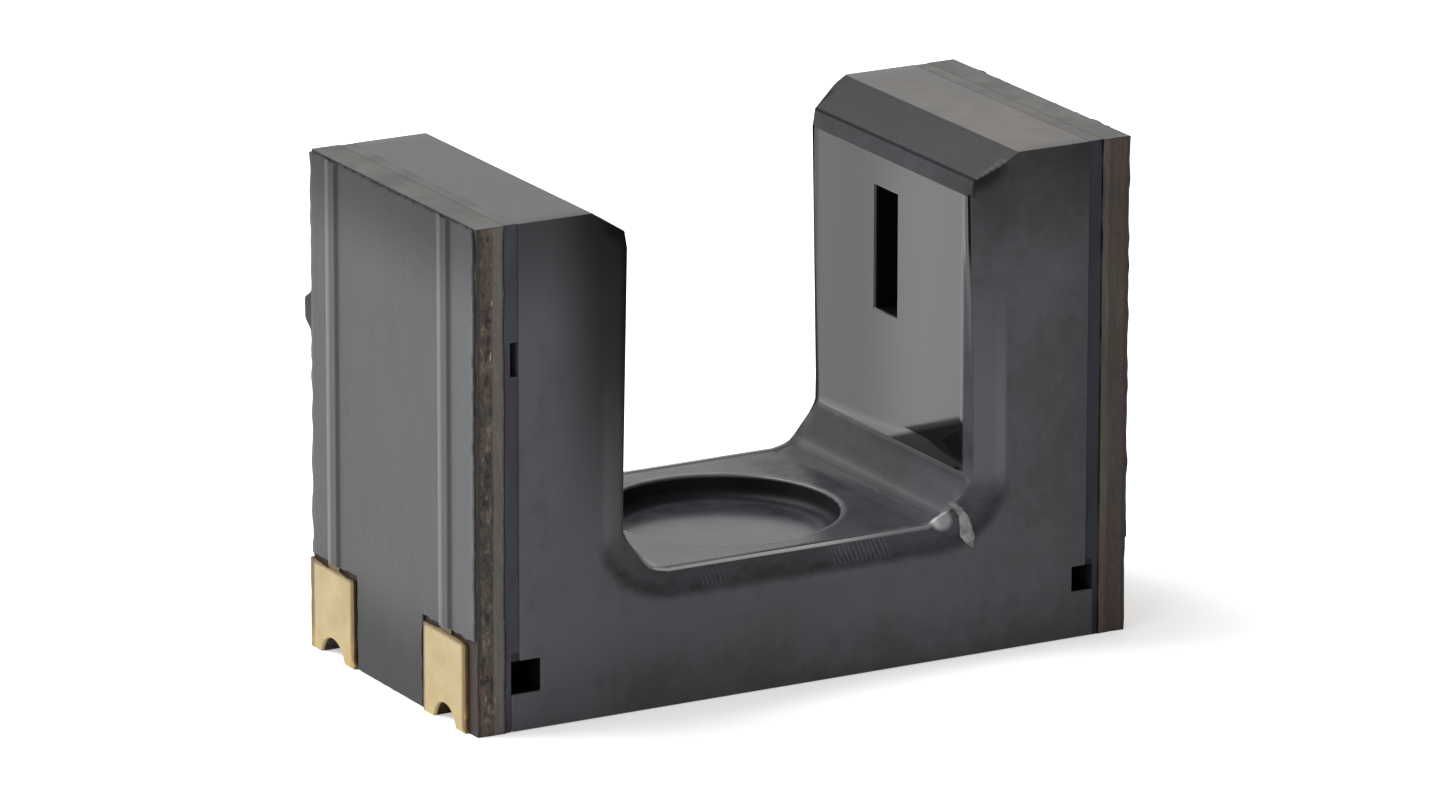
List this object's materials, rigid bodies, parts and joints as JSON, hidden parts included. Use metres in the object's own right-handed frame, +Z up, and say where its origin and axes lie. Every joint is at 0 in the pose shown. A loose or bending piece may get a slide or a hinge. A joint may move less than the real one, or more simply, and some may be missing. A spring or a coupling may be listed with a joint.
{
  "type": "slotted optical switch",
  "caption": "Surface mount slotted optical switch: a moulded U case with a light slit in each arm and an end board with gold half-hole terminals on each side.",
  "frame": {"origin": "centre of the case's flat underside, on the surface that the switch is soldered to", "axes": "+X across the slot, from the emitter arm to the detector arm; +Y from the front face to the back face, the way that a flag passes through; +Z up"},
  "size_m": [0.0058, 0.0029, 0.004],
  "materials": {
    "case_black": "fine moulded satin",
    "glass_epoxy": "rough sawn edge with glass fibres",
    "solder_mask": "satin coating",
    "gold": "satin gold plating",
    "bond_film": "matt",
    "silver_paste": "silver filled paste",
    "emitter_crystal": "polished crystal",
    "detector_silicon": "polished silicon",
    "dark_resin": "dark resin that passes infrared"
  },
  "bodies": {
    "root": {"case": "case_black", "emitter_board": "glass_epoxy", "detector_board": "glass_epoxy", "emitter_mask": "solder_mask", "detector_mask": "solder_mask", "emitter_terminal_front": "gold", "emitter_terminal_rear": "gold", "detector_terminal_front": "gold", "detector_terminal_rear": "gold", "emitter_bond_film": "bond_film", "detector_bond_film": "bond_film", "emitter_die_land": "gold", "emitter_wire_land": "gold", "detector_die_land": "gold", "detector_wire_land": "gold", "emitter_paste": "silver_paste", "detector_paste": "silver_paste", "emitter_chip": "emitter_crystal", "detector_chip": "detector_silicon", "emitter_wire": "gold", "detector_wire": "gold", "emitter_resin": "dark_resin", "detector_resin": "dark_resin"}
  },
  "joints": []
}
